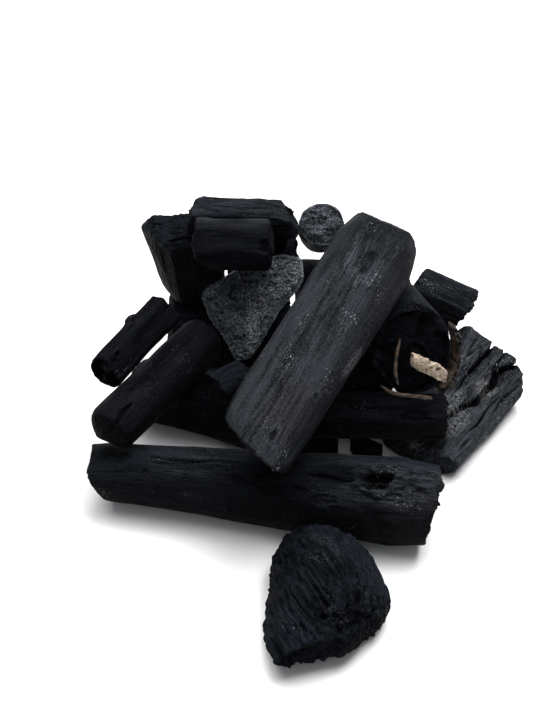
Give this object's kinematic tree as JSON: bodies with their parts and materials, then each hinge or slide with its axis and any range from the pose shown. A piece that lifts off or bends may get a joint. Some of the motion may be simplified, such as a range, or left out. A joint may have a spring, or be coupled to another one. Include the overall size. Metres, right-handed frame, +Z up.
{
  "type": "lump charcoal heap",
  "caption": "Loose heap of hardwood lump charcoal: sticks, split blocks and broken chunks piled by hand, with a shred of unburnt bark and wood on one broken end.",
  "frame": {"origin": "middle of the heap's footprint, on the surface it stands on", "axes": "+Z up, -Y towards the front chunk and the long front stick, +X towards the cracked lump on the right"},
  "size_m": [0.2358, 0.285, 0.1246],
  "materials": {
    "char_green_grey": "charred, greenish grey, fine split grain",
    "char_smooth": "charred, smooth grey with a faint blue sheen",
    "char_brown_grey": "charred, brownish grey, coarse grain",
    "char_dark": "charred, dark blue-black, freshly broken",
    "char_porous": "charred end grain, pale grey and porous",
    "char_fibre": "half-charred brown fibres",
    "bark": "half-charred rust-brown bark",
    "bare_wood": "uncharred pale wood, split"
  },
  "bodies": {
    "base_layer": {"front_stick": "char_green_grey", "inner_base_stick": "char_dark", "inner_right_stick": "char_dark", "rear_base_stick": "char_dark", "rear_right_stick": "char_dark", "rear_middle_block": "char_dark", "rear_upper_block": "char_dark", "floor_fragment_left": "char_dark", "floor_fragment_right": "char_dark"},
    "lower_left": {"lower_left_stick": "char_brown_grey"},
    "thin_left": {"thin_left_stick": "char_brown_grey"},
    "layered": {"layered_block": "char_dark"},
    "slab": {"top_slab": "char_green_grey"},
    "wedge": {"wedge_chunk": "char_porous"},
    "half_round": {"half_round_block": "char_smooth"},
    "broken": {"broken_stick": "char_dark", "bark_strip": "bark", "fibre_bundle": "char_fibre", "fibre_curl": "char_fibre", "wood_chip": "bare_wood"},
    "diagonal": {"diagonal_stick": "char_smooth"},
    "under": {"under_stick": "char_brown_grey"},
    "cracked": {"cracked_lump": "char_smooth"},
    "chunk": {"front_chunk": "char_dark"},
    "inner": {"inner_chunk": "char_dark"},
    "round_end": {"round_end_stick": "char_porous"},
    "back_right": {"back_right_block": "char_green_grey"}
  },
  "joints": [
    {"name": "lower_left_lift", "type": "slide", "parent": "base_layer", "child": "lower_left", "axis": [-0.5, 0, 0.866], "range_m": [0, 0.05]},
    {"name": "thin_left_lift", "type": "slide", "parent": "lower_left", "child": "thin_left", "axis": [-0.5, 0, 0.866], "range_m": [0, 0.04]},
    {"name": "layered_block_lift", "type": "slide", "parent": "base_layer", "child": "layered", "axis": [-0.433, 0.25, 0.866], "range_m": [0, 0.05]},
    {"name": "top_slab_lift", "type": "slide", "parent": "layered", "child": "slab", "axis": [0, 0, 1], "range_m": [0, 0.045]},
    {"name": "wedge_lift", "type": "slide", "parent": "base_layer", "child": "wedge", "axis": [0, -0.5, 0.866], "range_m": [0, 0.05]},
    {"name": "half_round_lift", "type": "slide", "parent": "wedge", "child": "half_round", "axis": [0, -0.5, 0.866], "range_m": [0, 0.045]},
    {"name": "broken_stick_lift", "type": "slide", "parent": "base_layer", "child": "broken", "axis": [0, 0, 1], "range_m": [0, 0.05]},
    {"name": "diagonal_stick_lift", "type": "slide", "parent": "broken", "child": "diagonal", "axis": [0, 0, 1], "range_m": [0, 0.06]},
    {"name": "under_stick_pull", "type": "slide", "parent": "base_layer", "child": "under", "axis": [0.8576, -0.4951, 0.1392], "range_m": [0, 0.04]},
    {"name": "cracked_lump_pull", "type": "slide", "parent": "base_layer", "child": "cracked", "axis": [0.9903, 0, 0.1392], "range_m": [0, 0.05]},
    {"name": "front_chunk_pull", "type": "slide", "parent": "base_layer", "child": "chunk", "axis": [0, -0.866, 0.5], "range_m": [0, 0.04]},
    {"name": "inner_chunk_lift", "type": "slide", "parent": "base_layer", "child": "inner", "axis": [-0.25, -0.433, 0.866], "range_m": [0, 0.03]},
    {"name": "round_end_lift", "type": "slide", "parent": "base_layer", "child": "round_end", "axis": [0, 0.5, 0.866], "range_m": [0, 0.05]},
    {"name": "back_right_lift", "type": "slide", "parent": "base_layer", "child": "back_right", "axis": [0.433, 0.25, 0.866], "range_m": [0, 0.045]}
  ]
}
